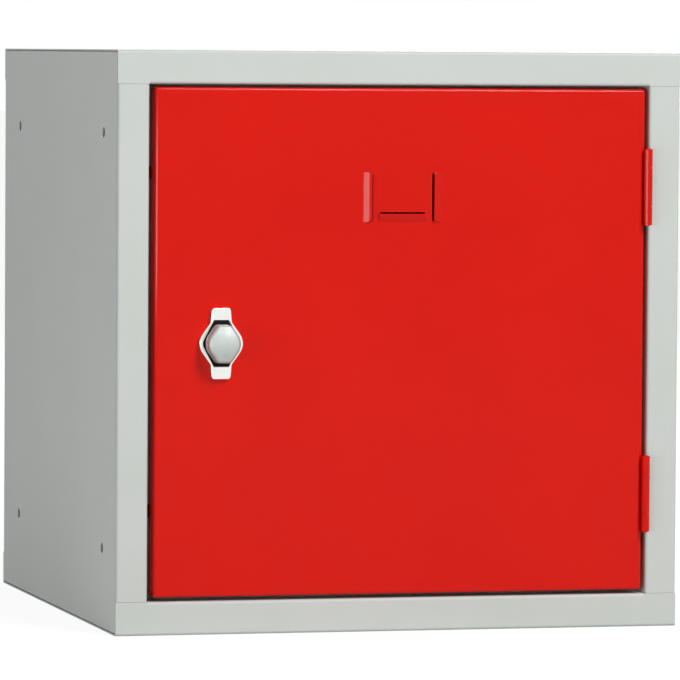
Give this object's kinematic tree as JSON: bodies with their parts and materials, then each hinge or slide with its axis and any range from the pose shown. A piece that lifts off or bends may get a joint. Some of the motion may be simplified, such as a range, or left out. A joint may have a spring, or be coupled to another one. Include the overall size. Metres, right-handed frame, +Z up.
{
  "type": "cube locker",
  "caption": "Cube-shaped steel storage locker with an inset hinged door, pressed card holder and quarter-turn knob lock; holes in its sides join it to the next locker.",
  "frame": {"origin": "centre of the carcass underside, on the floor; knob and hinge knuckles stand out in front of the carcass", "axes": "+Z up, front and door towards -Y, +X to the right of a person facing the door (the hinge side)"},
  "size_m": [0.38, 0.3963, 0.38],
  "materials": {
    "grey_paint": "smooth semi-gloss powder coat",
    "red_paint": "smooth semi-gloss powder coat",
    "chrome_plate": "bright plating on a casting",
    "plated_steel": "zinc plating",
    "buffer_rubber": "matt",
    "seal_rubber": "matt"
  },
  "bodies": {
    "carcass": {"left_side_panel": "grey_paint", "right_side_panel": "grey_paint", "top_panel": "grey_paint", "bottom_panel": "grey_paint", "back_panel": "grey_paint", "upper_door_buffer": "buffer_rubber", "lower_door_buffer": "buffer_rubber", "upper_hinge_frame_leaf": "red_paint", "lower_hinge_frame_leaf": "red_paint", "upper_hinge_pin": "red_paint", "lower_hinge_pin": "red_paint", "upper_hinge_rivets": "plated_steel", "lower_hinge_rivets": "plated_steel"},
    "door": {"door_panel": "red_paint", "upper_hinge_door_leaf": "red_paint", "lower_hinge_door_leaf": "red_paint", "lock_base": "chrome_plate", "lock_seal": "seal_rubber", "lock_washer": "plated_steel", "lock_nut": "plated_steel"},
    "knob": {"lock_knob": "chrome_plate", "lock_spindle": "plated_steel", "lock_stop_washer": "plated_steel", "lock_cam": "plated_steel", "cam_washer": "plated_steel", "cam_nut": "plated_steel"}
  },
  "joints": [
    {"name": "door_hinge", "type": "hinge", "parent": "carcass", "child": "door", "pos_m": [0.16755, -0.1931, 0.19], "axis": [0, 0, 1], "range_deg": [0, 180]},
    {"name": "knob_turn", "type": "hinge", "parent": "door", "child": "knob", "pos_m": [-0.1215, -0.19, 0.1899], "axis": [0, 1, 0], "range_deg": [0, 90]}
  ]
}
